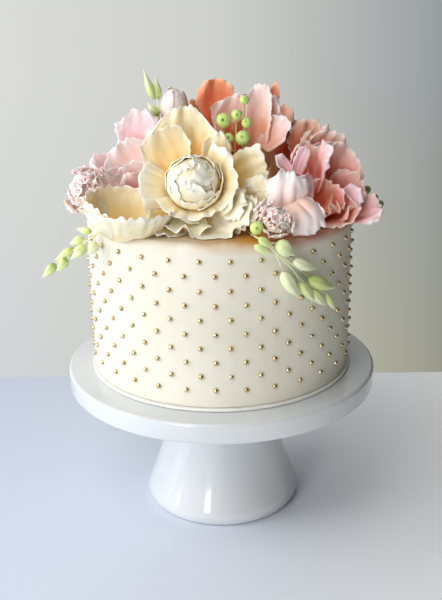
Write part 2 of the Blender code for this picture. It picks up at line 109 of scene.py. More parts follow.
class Nodes:
    """A node tree with short helpers. mix and maths take plain values or outputs of other nodes."""

    def __init__(self, tree):
        self.tree = tree
        self.places = tree.nodes.new("ShaderNodeTexCoord")

    def link(self, output, socket):
        self.tree.links.new(output, socket)

    def feed(self, socket, value):
        """Links an output to a socket, or sets the socket to a plain value."""
        if isinstance(value, bpy.types.NodeSocket):
            self.link(value, socket)
        else:
            socket.default_value = value

    def axes(self, places="Object"):
        """The X, Y and Z of each place."""
        made = self.tree.nodes.new("ShaderNodeSeparateXYZ")
        self.link(self.places.outputs[places], made.inputs["Vector"])
        return made.outputs["X"], made.outputs["Y"], made.outputs["Z"]

    def noise(self, scale, detail=3, places="Object", stretch=None):
        made = self.tree.nodes.new("ShaderNodeTexNoise")
        made.inputs["Scale"].default_value = scale
        made.inputs["Detail"].default_value = detail
        source = self.places.outputs[places]
        if stretch:
            mapping = self.tree.nodes.new("ShaderNodeMapping")
            mapping.inputs["Scale"].default_value = stretch
            self.link(source, mapping.inputs["Vector"])
            source = mapping.outputs["Vector"]
        self.link(source, made.inputs["Vector"])
        return made.outputs["Fac"]

    def drift(self, scale, detail, low, high):
        """Noise, with the values that it mostly takes spread from low to high."""
        return self.span(self.noise(scale, detail), 0.3, 0.7, low, high)

    def attribute(self, name):
        made = self.tree.nodes.new("ShaderNodeAttribute")
        made.attribute_name = name
        return made.outputs["Fac"]

    def ramp(self, factor, *stops, interpolation="EASE"):
        """A colour ramp from (place, colour) stops."""
        made = self.tree.nodes.new("ShaderNodeValToRGB")
        made.color_ramp.interpolation = interpolation
        elements = made.color_ramp.elements
        while len(elements) < len(stops):
            elements.new(0.5)
        for element, (place, colour) in zip(elements, stops):
            element.position = place
            element.color = colour
        self.link(factor, made.inputs["Fac"])
        return made.outputs["Color"]

    def mix(self, factor, first, second, blend="MIX"):
        made = self.tree.nodes.new("ShaderNodeMix")
        made.data_type = "RGBA"
        made.blend_type = blend
        for socket, value in ((0, factor), (6, first), (7, second)):
            self.feed(made.inputs[socket], value)
        return made.outputs[2]

    def span(self, value, low, high, to_low=0.0, to_high=1.0):
        """Takes values between low and high to values between to_low and to_high."""
        made = self.tree.nodes.new("ShaderNodeMapRange")
        ends = {"From Min": low, "From Max": high, "To Min": to_low, "To Max": to_high}
        for socket, number in ends.items():
            made.inputs[socket].default_value = number
        self.link(value, made.inputs["Value"])
        return made.outputs["Result"]

    def maths(self, operation, first, second):
        made = self.tree.nodes.new("ShaderNodeMath")
        made.operation = operation
        self.feed(made.inputs[0], first)
        self.feed(made.inputs[1], second)
        return made.outputs[0]


class Finish(Nodes):
    """A Principled material for one finish of the cake or its stand."""

    def __init__(self, name, roughness, **sockets):
        self.material = bpy.data.materials.new(name)
        self.material.use_nodes = True
        super().__init__(self.material.node_tree)
        self.shader = self.tree.nodes["Principled BSDF"]
        self.shader.inputs["Roughness"].default_value = roughness
        for socket, value in sockets.items():
            self.shader.inputs[socket.replace("_", " ")].default_value = value

    def colour(self, output):
        self.link(output, self.shader.inputs["Base Color"])

    def bump(self, height, strength, depth):
        made = self.tree.nodes.new("ShaderNodeBump")
        made.inputs["Strength"].default_value = strength
        made.inputs["Distance"].default_value = depth
        self.link(height, made.inputs["Height"])
        self.link(made.outputs["Normal"], self.shader.inputs["Normal"])


# where a petal's four colours sit, from its heart to its rim
PETAL_STOPS = (0.1, 0.45, 0.82, 1.0)


def petal_paste(name, first, second=None, freckles=None):
    """Dusted sugar paste: deep at the flower's heart, pale towards the thin rim, with fine veins.

    first and second each hold four colours, from heart to rim, and a petal's tone mixes the two.
    """
    paste = Finish(
        name,
        0.5,
        Subsurface_Weight=0.3,
        Subsurface_Radius=(1.0, 0.7, 0.5),
        Subsurface_Scale=0.003,
        Specular_IOR_Level=0.35,
    )
    reach = paste.maths("ADD", paste.attribute("reach"), paste.drift(55, 3, -0.12, 0.12))

    def dusting(colours):
        return paste.ramp(reach, *[(stop, srgb(*colour)) for stop, colour in zip(PETAL_STOPS, colours)])

    colour = dusting(first)
    if second:
        colour = paste.mix(paste.attribute("tone"), colour, dusting(second))
    if freckles:
        speckled = paste.span(paste.noise(300, 2), 0.52, 0.72, 0.0, 0.6)
        colour = paste.mix(speckled, colour, srgb(*freckles))
    veins = paste.noise(1.0, 2, "UV", (60, 2.6, 1))
    shade = paste.ramp(veins, (0.35, (0.88, 0.86, 0.84, 1)), (0.6, (1, 1, 1, 1)))
    paste.colour(paste.mix(0.2, colour, shade, "MULTIPLY"))
    grain = paste.maths("ADD", veins, paste.maths("MULTIPLY", paste.noise(900, 2), 0.25))
    paste.bump(grain, 0.25, 0.3 * MM)
    return paste.material


def ceramic_glaze():
    glaze = Finish("ceramic_glaze", 0.1, Coat_Weight=0.6, Coat_Roughness=0.04, Specular_IOR_Level=0.6)
    glaze.colour(glaze.ramp(glaze.noise(9), (0.35, srgb(208, 212, 216)), (0.7, srgb(216, 219, 222))))
    glaze.bump(glaze.noise(38, 2), 0.06, 0.6 * MM)
    return glaze.material


def board_foil():
    foil = Finish("board_foil", 0.42)
    foil.colour(foil.ramp(foil.noise(120), (0.3, srgb(226, 226, 222)), (0.7, srgb(240, 239, 235))))
    foil.bump(foil.noise(700, 2), 0.2, 0.1 * MM)
    return foil.material


def covering_paste():
    """Rolled ivory paste, with painted shade and painted bounce light on its top where the flowers sit:
    golden, and coral towards the right.
    """
    paste = Finish(
        "covering_paste",
        0.42,
        Subsurface_Weight=0.2,
        Subsurface_Radius=(1.0, 0.7, 0.5),
        Subsurface_Scale=0.004,
        Specular_IOR_Level=0.4,
    )
    ivory = paste.ramp(paste.noise(14, 4), (0.3, srgb(222, 217, 201)), (0.7, srgb(230, 225, 212)))
    x, y, z = paste.axes()
    squares = paste.maths("ADD", paste.maths("POWER", x, 2.0), paste.maths("POWER", y, 2.0))
    ragged = paste.drift(30, 3, -12 * MM, 12 * MM)
    from_axis = paste.maths("ADD", paste.maths("POWER", squares, 0.5), ragged)
    less_at_left = paste.span(x, -50 * MM, 20 * MM, 0.2, 1.0)
    less_behind = paste.span(y, 50 * MM, -10 * MM, 0.25, 1.0)
    least = paste.maths("MINIMUM", less_at_left, less_behind)
    # painted shade: a golden tint on the top under the flowers, less at the left and behind, and painted
    # coral bounce light in front at the right
    painted_shade_under_flowers = paste.maths("MULTIPLY", paste.span(from_axis, 111 * MM, 96 * MM), least)
    at_right = paste.span(x, -30 * MM, 30 * MM)
    in_front = paste.span(y, 20 * MM, -20 * MM, 0.0, 0.8)
    painted_bounce_front_right = paste.maths("MULTIPLY", at_right, in_front)
    near_top = paste.span(z, CAKE_TOP - 9 * MM, CAKE_TOP - 0.5 * MM)
    painted_shade_amount = paste.maths(
        "MULTIPLY", paste.maths("MAXIMUM", painted_shade_under_flowers, painted_bounce_front_right), paste.maths("MULTIPLY", near_top, 0.97)
    )
    # the colour of the painted shade and bounce light: golden at the left, coral at the right
    painted_shade_tint = paste.mix(paste.span(x, 20 * MM, 60 * MM), srgb(190, 130, 18), srgb(202, 108, 68))
    paste.colour(paste.mix(painted_shade_amount, ivory, painted_shade_tint))
    paste.bump(paste.noise(420, 4), 0.12, 0.25 * MM)
    return paste.material


def gold_leaf():
    gold = Finish("gold_leaf", 0.24, Metallic=1.0)
    gold.colour(gold.ramp(gold.noise(260), (0.3, srgb(198, 174, 132)), (0.7, srgb(234, 216, 180))))
    gold.link(gold.drift(500, 2, 0.14, 0.32), gold.shader.inputs["Roughness"])
    gold.bump(gold.noise(900, 2), 0.35, 0.12 * MM)
    return gold.material


WIRE_TINT = (206, 178, 140)


def green_paste(name, low, high, tip):
    """Green sugar paste, from its darker base to its paler tip, and its wires, by their tone."""
    paste = Finish(
        name,
        0.4,
        Subsurface_Weight=0.3,
        Subsurface_Radius=(0.7, 1.0, 0.35),
        Subsurface_Scale=0.003,
        Specular_IOR_Level=0.4,
    )
    reach = paste.maths("ADD", paste.attribute("reach"), paste.drift(160, 3, -0.1, 0.1))
    colour = paste.ramp(reach, (0.08, srgb(*low)), (0.4, srgb(*high)), (1.0, srgb(*tip)))
    paste.colour(paste.mix(paste.attribute("tone"), colour, srgb(*WIRE_TINT)))
    paste.bump(paste.noise(500, 3), 0.15, 0.15 * MM)
    return paste.material


# ---------------------------------------------------------------- making pieces


def new_sheet():
    """An empty mesh with the petals' layers.

    reach is how far from the heart, tone which of the paste's colours, and the weight how full it is.
    """
    bm = bmesh.new()
    bm.verts.layers.float.new("reach")
    bm.verts.layers.float.new("tone")
    bm.verts.layers.deform.verify()
    bm.loops.layers.uv.new("UVMap")
    return bm


def add_piece(name, bm, finish, slot, *nodes):
    """A finished piece at the origin, riding on the cake, that stands for its nodes."""
    mesh = bpy.data.meshes.new(name)
    bm.to_mesh(mesh)
    bm.free()
    mesh.shade_smooth()
    mesh.materials.append(finish)
    made = bpy.data.objects.new(name, mesh)
    bpy.context.collection.objects.link(made)
    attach(made, "root")
    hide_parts(*nodes)


def thickened(bm, thickness=PASTE_THICKNESS):
    """Gives open petals their thickness, thinnest at the rim, and returns a new mesh."""
    mesh = bpy.data.meshes.new("petals")
    bm.to_mesh(mesh)
    bm.free()
    rough = bpy.data.objects.new("petals", mesh)
    bpy.context.collection.objects.link(rough)
    rough.vertex_groups.new(name="full")
    paste = rough.modifiers.new("paste", "SOLIDIFY")
    paste.thickness = thickness
    paste.offset = 0
    paste.vertex_group = "full"
    paste.thickness_vertex_group = PASTE_RIM_SHARE
    evaluated = rough.evaluated_get(bpy.context.evaluated_depsgraph_get())
    solid = bpy.data.meshes.new_from_object(evaluated)
    bpy.data.objects.remove(rough)
    bm = bmesh.new()
    bm.from_mesh(solid)
    return bm


def from_top(x, y, z):
    """A place given in mm from the middle of the cake's top."""
    return Vector((x * MM, y * MM, CAKE_TOP + z * MM))


def stay_above(place):
    """Lifts a petal's point that would sink into the cake's top."""
    floor = CAKE_TOP + PETAL_ROOM
    if math.hypot(place.x, place.y) < CAKE_RADIUS + 2 * MM and place.z < floor:
        place.z = floor
    return place


def turned(profile, steps):
    """A closed shape turned round Z from (radius, height) points that start and end on the axis."""
    bm = bmesh.new()
    points = [bm.verts.new((radius, 0, height)) for radius, height in profile]
    edges = [bm.edges.new(pair) for pair in zip(points, points[1:])]
    bmesh.ops.spin(
        bm, geom=points + edges, cent=(0, 0, 0), axis=(0, 0, 1), angle=math.tau, steps=steps, use_merge=True
    )
    bmesh.ops.remove_doubles(bm, verts=bm.verts, dist=0.01 * MM)
    bmesh.ops.recalc_face_normals(bm, faces=bm.faces)
    return bm


def arc(centre, radius, start, end, steps):
    """Points (radius, height) along an arc about centre, angles in degrees."""
    angles = [math.radians(start + (end - start) * k / steps) for k in range(steps + 1)]
    return [(centre[0] + radius * math.cos(a), centre[1] + radius * math.sin(a)) for a in angles]


def pointing(direction):
    """The turn that takes what points up to this direction."""
    return UP.rotation_difference(direction).to_matrix().to_4x4()


def wave(u, v, seed):
    """Smooth unevenness, from about -1 to 1."""
    return noise.noise(Vector((u, v, 7.3 * seed)))


def sheet(bm, place, rows, columns, tone, reach_from):
    """Adds an open sheet from place(u, v): u from 0 to 1 along it, v from -1 to 1 across.

    Its reach runs from reach_from at its foot to 1 at its rim, and its paste thins out near the rim.
    """
    reach_layer = bm.verts.layers.float["reach"]
    tone_layer = bm.verts.layers.float["tone"]
    weights = bm.verts.layers.deform.verify()
    uv_layer = bm.loops.layers.uv["UVMap"]
    made = bmesh.ops.create_grid(bm, x_segments=columns, y_segments=rows, size=1)["verts"]
    for face in {f for v in made for f in v.link_faces}:
        face.smooth = True
        for loop in face.loops:
            loop[uv_layer].uv = (loop.vert.co.x / 2 + 0.5, loop.vert.co.y / 2 + 0.5)
    for v in made:
        along, across = (v.co.y + 1) / 2, v.co.x
        rim = max(along, abs(across) * min(1, 0.35 + along))
        v[reach_layer] = reach_from + (1 - reach_from) * rim**1.4
        v[tone_layer] = tone
        v[weights][0] = 1 - max(0.0, rim - THIN_FROM) / (1 - THIN_FROM)
        v.co = place(along, across)


def scallop(place, row, seed):
    """A row of rounded lobes with notches between them, from about -0.6 to 1."""
    return abs(wave(place, row, seed)) * 3.2 - 0.6


def petal(bm, heart, looks, tip, width, start=None, root=0.14, faces=None, belly=6, cup=35, twist=0, curl=0,
          lip=1.0, frill=4, ruffle=1.2, ragged=1.2, base=0.42, square=0.0, pleat=0.3, pale=0.0, tone=0.0,
          rows=34, columns=44, seed=0):
    """A cupped petal from a flower's heart, or its own start, to its tip, with a frilled, ragged rim.

    Lengths are in mm. It starts at root, a share of the way from heart to tip, if no start is given, and
    looks where its flower does, unless faces says otherwise.
    belly: how far it bows away from where it looks. cup: the angle that its sides turn in.
    curl: how far its tip rolls back, and lip the same at its very rim. twist: its turn about its length.
    frill: its slow folds, ruffle the fine ones, ragged the depth of its notches, pleat its ribs.
    base: its width at the foot, as a share of its full width. square: how little it narrows at the tip.
    pale: how little of the heart's deep colour it takes.
    """
    looks = Vector(faces).normalized() if faces else looks
    tip = from_top(*tip)
    start = from_top(*start) if start else heart.lerp(tip, root)
    length = (tip - start).length
    along = (tip - start).normalized()
    inward = (looks - looks.dot(along) * along).normalized()
    inward = Matrix.Rotation(math.radians(twist), 3, along) @ inward
    side = along.cross(inward)
    bend = math.radians(cup if abs(cup) > 1 else 1)
    half_width = width * MM / 2
    half_mm, length_mm = width / 2, length / MM

    def place(u, v):
        reach = u * (1 - (0.26 - square) * abs(v) ** 2.4)
        half = half_width * (base + (1 - base) * math.sin(min(1, reach / WIDEST) * math.pi / 2))
        half *= 1 - (0.2 - square) * max(0, reach - WIDEST) / (1 - WIDEST)
        rim = max(u**3, abs(v) ** 3 * u)
        edge = max(u**6, abs(v) ** 6 * min(1, 1.6 * u))
        side_edge = abs(v) ** 6 * min(1, 1.6 * u)
        across = half / bend * math.sin(v * bend)
        across *= 1 + ragged * MM / half_width * side_edge * scallop(u * length_mm / LOBE, v, seed + 3)
        forward = half / bend * (1 - math.cos(v * bend))
        forward -= belly * MM * 4 * reach * (1 - reach)
        forward -= curl * MM * max(0, (reach - CURL_FROM) / (1 - CURL_FROM)) ** 2
        forward -= lip * MM * edge**2
        folds = wave(v * half_mm / FOLD_WIDTH, u * length_mm / FOLD_LENGTH, seed)
        forward += frill * MM * (0.12 * reach + rim) * 1.6 * folds
        fine_folds = wave(v * half_mm / RUFFLE_WIDTH, u * length_mm / RUFFLE_LENGTH, seed + 1)
        forward += ruffle * MM * edge * 2 * fine_folds
        ribs = math.sin(v * half_mm / RIB_WIDTH + 2 * wave(v * 3, u, seed + 2))
        forward += pleat * MM * math.sin(math.pi * min(1, 1.25 * u)) * ribs
        far = length * (reach + 0.05 * rim * wave(v * 3.1, 9.1, seed * 0.51))
        far += ragged * MM * edge * scallop(v * half_mm / TIP_LOBE, 4.2, seed + 5)
        return stay_above(start + along * far + side * across + inward * forward)

    sheet(bm, place, rows, columns, tone, pale)


def cap_petal(bm, centre, axis, turn, width, radius, past, ragged, seed):
    """A petal of the closed ball. It comes up on the side at turn and lies past degrees beyond the axis.

    width is the angle that half of it spans, radius and ragged are in mm.
    """
    rows, columns, tone, reach_from, low = 30, 44, 0.3, 0.6, 130
    axis = Vector(axis).normalized()
    right = UP.cross(axis).normalized()
    around = math.radians(turn)
    spoke = right * math.cos(around) + axis.cross(right) * math.sin(around)
    side = axis.cross(spoke)
    half_mm = math.radians(width) * radius

    def place(u, v):
        torn = scallop(v * half_mm / 7, 2.1, seed)
        ends = past - 22 * v * v + math.degrees(ragged / radius) * torn
        polar = math.radians(low - (low + ends) * u)
        across = math.radians(width * v * (0.6 + 0.4 * min(1, 1.6 * u)))
        edge = max(u**7, abs(v) ** 7 * u)
        out = radius + 0.7 * v + edge * (1.3 + 2.4 * wave(v * half_mm / 4.5, u * 3, seed + 1))
        out += 0.9 * wave(v * 1.6, u * 1.2, seed + 4)
        flat = math.cos(polar) * axis + math.sin(polar) * spoke
        return centre + out * MM * (math.cos(across) * flat + math.sin(across) * side)

    sheet(bm, place, rows, columns, tone, reach_from)


def wrap_petal(bm, centre, turn, span, radius, opening, axis, back=140, flare=2.0, ruffle=0.8, ragged=1.2,
               lap=0.8, squash=1.0, tone=0.0, reach_from=0.3, columns=40, seed=0):
    """A petal that closes round a ball. turn and span are degrees round the axis, as seen from in front.

    opening is the angle from the axis at which its rim stands, and back the angle where it starts. In mm,
    flare is how far its rim stands out and lap how much further out one of its sides lies.
    """
    rows = 26
    axis = Vector(axis).normalized()
    right = UP.cross(axis).normalized()
    up = axis.cross(right)
    waves = math.radians(span) * radius / LOBE

    def place(u, v):
        rim_angle = opening + 14 * abs(v) ** 3
        torn = scallop(v * waves, 2.1, seed) + 0.3 * wave(v * waves * 2.4, 5.1, seed)
        rim_angle -= math.degrees(ragged / radius) * torn
        polar = math.radians(back + (rim_angle - back) * u)
        around = math.radians(turn + span * v * (0.55 + 0.45 * min(1, 1.5 * u)))
        edge = max(u**5, abs(v) ** 6 * u)
        out = radius + lap * v + flare * u**4 + ruffle * edge * 2 * wave(v * waves * 1.2, u * 4, seed + 1)
        out += 0.3 * wave(v * waves * 0.5, u * 1.5, seed + 4)
        spoke = right * math.cos(around) + up * math.sin(around)
        return stay_above(centre + out * MM * (math.sin(polar) * spoke + squash * math.cos(polar) * axis))

    sheet(bm, place, rows, columns, tone, reach_from)


def ball(bm, centre, radius, reach, axis=UP, squash=1.0, subdivisions=4, tone=0.0, lumps=0.0):
    """Adds a slightly uneven ball of paste and returns its points."""
    made = bmesh.ops.create_icosphere(bm, subdivisions=subdivisions, radius=1)["verts"]
    place = Matrix.Translation(centre) @ pointing(axis) @ Matrix.Diagonal((1, 1, squash, 1))
    reach_layer = bm.verts.layers.float["reach"]
    tone_layer = bm.verts.layers.float["tone"]
    for v in made:
        v[reach_layer] = reach
        v[tone_layer] = tone
        v.co = place @ (v.co * radius * (1 + lumps * noise.noise(v.co * 2.3 + centre * 90)))
    return made


# the side of a bud that its crease runs down
CREASE_FACES = Vector((0.35, -0.85, 0.4))


def tapered(bm, points, radii, sides, reach, tone=0.0, crease=0.0):
    """Adds a closed round rod through the given places, with a radius at each.

    reach holds its value at both ends, and crease how deep a fold runs down it, as a share of its radius.
    """
    reach_layer = bm.verts.layers.float["reach"]
    tone_layer = bm.verts.layers.float["tone"]
    rings = []
    last = len(points) - 1
    for k, (place, radius) in enumerate(zip(points, radii)):
        ahead = points[min(k + 1, last)] - points[max(k - 1, 0)]
        ring = bmesh.ops.create_circle(
            bm, cap_ends=k in (0, last), segments=sides, radius=max(radius, 0.02 * MM),
            matrix=Matrix.Translation(place) @ pointing(ahead),
        )["verts"]
        for v in ring:
            v[reach_layer] = reach[0] + (reach[1] - reach[0]) * k / last
            v[tone_layer] = tone
        fold = max(ring, key=lambda v: (v.co - place).dot(CREASE_FACES))
        fold.co = fold.co.lerp(place, crease)
        rings.append(ring)
    for low, high in zip(rings, rings[1:]):
        pair = {e for ring in (low, high) for v in ring for e in v.link_edges if e.other_vert(v) in ring}
        bmesh.ops.bridge_loops(bm, edges=list(pair))
    faces = list({f for ring in rings for v in ring for f in v.link_faces})
    bmesh.ops.recalc_face_normals(bm, faces=faces)


# ---------------------------------------------------------------- stand, board, cake and pearls


def glazed_stand():
    """The turned stand: a plate with a deep rim, and a neck that flares into its foot."""
    rim_depth, rim_wall, rounding, inner_rounding = 16.5 * MM, 9 * MM, 2.5 * MM, 1.5 * MM
    neck, neck_rounding = 39.5 * MM, 4 * MM
    foot, contact, bulge = 66 * MM, 60 * MM, 9 * MM
    recess = STAND_HEIGHT - 10 * MM
    rim_foot = STAND_HEIGHT - rim_depth
    inner = PLATE_RADIUS - rim_wall
    profile = [(0, STAND_HEIGHT), (PLATE_RADIUS * 0.5, STAND_HEIGHT)]
    profile += arc((PLATE_RADIUS - rounding, STAND_HEIGHT - rounding), rounding, 90, 0, 8)
    profile += arc((PLATE_RADIUS - rounding, rim_foot + rounding), rounding, 0, -90, 8)
    profile += arc((inner + inner_rounding, rim_foot + inner_rounding), inner_rounding, -90, -180, 4)
    profile += [(inner - 2 * MM, recess - 1 * MM), (inner - 4 * MM, recess)]
    neck_top = recess - neck_rounding
    profile += arc((neck + 5 * MM, neck_top), neck_rounding, 90, 160, 5)
    steps = 24
    for k in range(1, steps + 1):
        part = k / steps
        profile.append((neck + (foot - neck) * part**1.6, neck_top + (bulge - neck_top) * part))
    steps = 8
    for k in range(1, steps + 1):
        turn = math.radians(90 * k / steps)
        profile.append((contact + (foot - contact) * math.cos(turn), bulge * (1 - math.sin(turn))))
    profile.append((0, 0))
    add_piece("glazed_stand", turned(profile, 160), ceramic_glaze(), "ceramic", "cake_stand")


def covered_board():
    """The thin foiled board that the cake stands on."""
    rounding = 0.8 * MM
    profile = [(0, BOARD_HIGH)]
    profile += arc((BOARD_RADIUS - rounding, BOARD_HIGH - rounding), rounding, 90, 0, 5)
    profile += arc((BOARD_RADIUS - rounding, BOARD_LOW + rounding), rounding, 0, -90, 5)
    profile.append((0, BOARD_LOW))
    add_piece("covered_board", turned(profile, 160), board_foil(), "white_paste", "cake_board")


def covered_cake():
    """The paste covering, with its soft top edge and the slight unevenness of hand smoothing."""
    foot_rounding, unevenness = 1.2 * MM, 0.35 * MM
    top_rings, wall_rings = 12, 24
    profile = [(CAKE_RADIUS * k / top_rings, CAKE_TOP) for k in range(top_rings)]
    profile += arc((CAKE_RADIUS - TOP_ROUNDING, CAKE_TOP - TOP_ROUNDING), TOP_ROUNDING, 90, 0, 10)
    wall = CAKE_TOP - TOP_ROUNDING - CAKE_FOOT
    profile += [(CAKE_RADIUS, CAKE_FOOT + wall * (1 - k / wall_rings)) for k in range(1, wall_rings)]
    profile += arc((CAKE_RADIUS - foot_rounding, CAKE_FOOT + foot_rounding), foot_rounding, 0, -90, 4)
    profile.append((0, CAKE_FOOT))
    bm = turned(profile, 200)
    for v in bm.verts:
        out = math.hypot(v.co.x, v.co.y)
        if out > CAKE_RADIUS * 0.9 and CAKE_FOOT + 4 * MM < v.co.z < CAKE_TOP - 1 * MM:
            scale = 1 + unevenness / CAKE_RADIUS * (noise.noise(v.co * 22) - 0.5)
            v.co.x *= scale
            v.co.y *= scale
    add_piece("paste_covering", bm, covering_paste(), "ivory_paste", "cake_body")


def gold_pearls():
    """Gold sugar pearls in a diamond lattice, each a little out of true."""
    bm = bmesh.new()
    step = math.tau / (2 * PEARL_COLUMNS)
    for row in range(PEARL_ROWS):
        for slot in range(row % 2, 2 * PEARL_COLUMNS, 2):
            drift = noise.noise_vector(Vector((row * 1.7, slot * 2.3, 0.5)))
            turn = slot * step + PEARL_TURN + drift.x * PEARL_DRIFT / CAKE_RADIUS
            height = TOP_PEARL_ROW - row * PEARL_ROW_PITCH + drift.y * PEARL_DRIFT
            out = CAKE_RADIUS + PEARL_SET
            centre = Vector((out * math.sin(turn), -out * math.cos(turn), height))
            size = PEARL_RADIUS * (1 + 0.1 * drift.z)
            made = bmesh.ops.create_icosphere(bm, subdivisions=2, radius=size)["verts"]
            for v in made:
                v.co *= 1 + PEARL_LUMPS * noise.noise(v.co * 420 + centre * 300)
                v.co += centre
    add_piece("gold_pearls", bm, gold_leaf(), None, "cake_body")


# ---------------------------------------------------------------- flowers


# each petal's seed comes from its place in its list and, but for caps, the length of its flower's name
WRAP_SEEDS = 31
CAP_SEEDS = 51


def flower(name, finish, slot, heart, looks, petals, wraps=(), caps=(), balls=(), core=9):
    """Petals round a heart on a stem, joined into one piece. core is the stem's radius at the heart, in mm.

    A petal's row holds its tip, width and any extras, and wraps and caps hold what those functions take.
    A ball's row holds its place, its radius and how far it has the colours of the rim, and the caps close
    over the first one.
    """
    heart = from_top(*heart)
    looks = Vector(looks).normalized()
    bm = new_sheet()
    for count, (tip, width, extra) in enumerate(petals):
        petal(bm, heart, looks, tip, width, **{"seed": count + len(name), **extra})
    for count, (centre, turn, span, radius, opening, extra) in enumerate(wraps):
        extra = {"axis": looks, "seed": WRAP_SEEDS + count + len(name), **extra}
        wrap_petal(bm, from_top(*centre), turn, span, radius, opening, **extra)
    for count, (turn, width, radius, past, ragged) in enumerate(caps):
        cap_petal(bm, from_top(*balls[0][0]), looks, turn, width, radius, past, ragged, CAP_SEEDS + count)
    bm = thickened(bm)
    for place, radius, reach in balls:
        ball(bm, from_top(*place), radius * MM, reach, looks, subdivisions=5, tone=1 - reach, lumps=0.05)
    radius = core * MM
    foot = Vector((heart.x, heart.y, from_top(0, 0, STEM_FOOT).z))
    crown = heart + Vector((0, 0, 0.8 * radius))
    stem = [foot, foot.lerp(heart, 0.5), heart, crown]
    tapered(bm, stem, [0.7 * radius, 0.8 * radius, radius, 0.6 * radius], 24, (0.0, 0.1))
    add_piece(name, bm, finish, slot, name)


def ivory_peony():
    """The big ivory peony in front: a closed ball among loose petals, and an open bowl at its left."""
    finish = petal_paste(
        "ivory_petal_paste",
        ((245, 190, 106), (248, 221, 168), (251, 237, 204), (254, 249, 232)),
        ((242, 186, 88), (251, 218, 146), (254, 238, 200), (255, 250, 234)),
    )
    heart, looks = (-19, -42, 25), (0.0, -0.87, 0.48)
    ball_at = (-19, -59.4, 34.6)
    bowl_at = (-66, -68, 23)
    bowl = dict(axis=(0.12, -0.13, 0.98), back=172, ruffle=1.2, ragged=1.8, reach_from=0.1)
    petals = [
        ((-45, -36, 68), 38, dict(start=(-30, -46, 36), belly=5, cup=25, curl=-8, lip=-2, frill=3,
                                  square=0.14)),
        ((-26, -26, 86), 52, dict(start=(-26, -34, 36), belly=6, cup=28, frill=5, square=-0.1, ragged=1.8)),
        ((0, -32, 66), 24, dict(start=(-4, -36, 34), belly=5, cup=30, curl=2)),
        ((37, -47, 37), 52, dict(start=(0, -48, 28), belly=9, cup=32, square=0.2, ragged=1.6, tone=0.9)),
        ((33, -57, 38), 26, dict(start=(22, -56, 12), belly=2, cup=40, twist=-20, tone=0.2, pale=0.5)),
        ((36, -60, 20), 34, dict(start=(8, -54, 12), belly=6, cup=50, twist=15, tone=0.4)),
        ((9, -90, 3), 58, dict(start=(-8, -56, 10), belly=5, cup=35, ragged=2.0, square=0.05, pale=0.75)),
        ((24, -82, 12), 36, dict(start=(2, -54, 14), belly=5, cup=35, ragged=1.8, pale=0.7)),
        ((20, -74, 22), 26, dict(start=(0, -60, 18), belly=2, cup=30, ragged=2.2, frill=7, pale=0.7)),
        ((-44, -86, 5), 36, dict(start=(-30, -56, 10), belly=4, cup=40, tone=0.4)),
        ((-24, -90, 6), 34, dict(start=(-22, -58, 12), belly=4, cup=30, ragged=2.0, frill=5, pale=0.65)),
    ]
    caps = [
        (100, 60, 16.4, 36, 1.6),
        (335, 54, 16.8, 2, 2.2),
        (128, 50, 17.2, -16, 2.4),
        (255, 66, 17.6, -22, 3.0),
        (60, 46, 17.8, -34, 2.4),
        (190, 50, 18.1, -40, 2.4),
        (5, 52, 18.4, -48, 2.0),
    ]
    wraps = [
        (ball_at, 150, 64, 19.0, 54, dict(flare=0.2, tone=0.3, lap=0.4, ragged=2.0)),
        (ball_at, 262, 70, 19.3, 62, dict(flare=0.4, tone=0.3, lap=0.4, ragged=2.0)),
        (ball_at, 62, 56, 19.7, 62, dict(flare=0.5, tone=0.3, lap=-0.4, ragged=1.8)),
        (ball_at, 128, 66, 19.8, 66, dict(flare=0.6, tone=0.3, lap=0.4, ragged=1.8)),
        (ball_at, 340, 62, 20.9, 72, dict(flare=1.6, tone=0.3, lap=0.8, ragged=1.8)),
        (ball_at, 241, 38, 20.4, 80, dict(flare=10.5, lap=0.4, ragged=1.4, ruffle=0.6, reach_from=0.5)),
        (ball_at, 8, 56, 23.5, 74, dict(flare=11, ragged=2.6, ruffle=2.0)),
        (ball_at, 182, 32, 23.5, 84, dict(flare=16, ragged=1.4, ruffle=1.0, reach_from=0.6)),
        (ball_at, 296, 44, 21.0, 80, dict(flare=9, ragged=1.6, ruffle=1.2, reach_from=0.5)),
        (bowl_at, 150, 64, 30.0, 86, dict(bowl, flare=1, ragged=2.4, columns=60, tone=0.2)),
        (bowl_at, 62, 60, 29.0, 88, dict(bowl, flare=1, tone=0.5)),
        (bowl_at, 255, 108, 30.8, 90, dict(bowl, flare=2.6, columns=110, reach_from=0.4)),
    ]
    # the second ball is all in the deep honey colour and shows in the gaps between the ball's petals: partly
    # deep dusting, partly painted glow and shade in those gaps
    balls = [(ball_at, 15.8, 0.75), ((-18, -54.4, 33.0), 19.2, 0.0), ((-62, -62, -3), 10.0, 0.3)]
    flower("ivory_peony", finish, "ivory_petal", heart, looks, petals, wraps, caps, balls, 10)


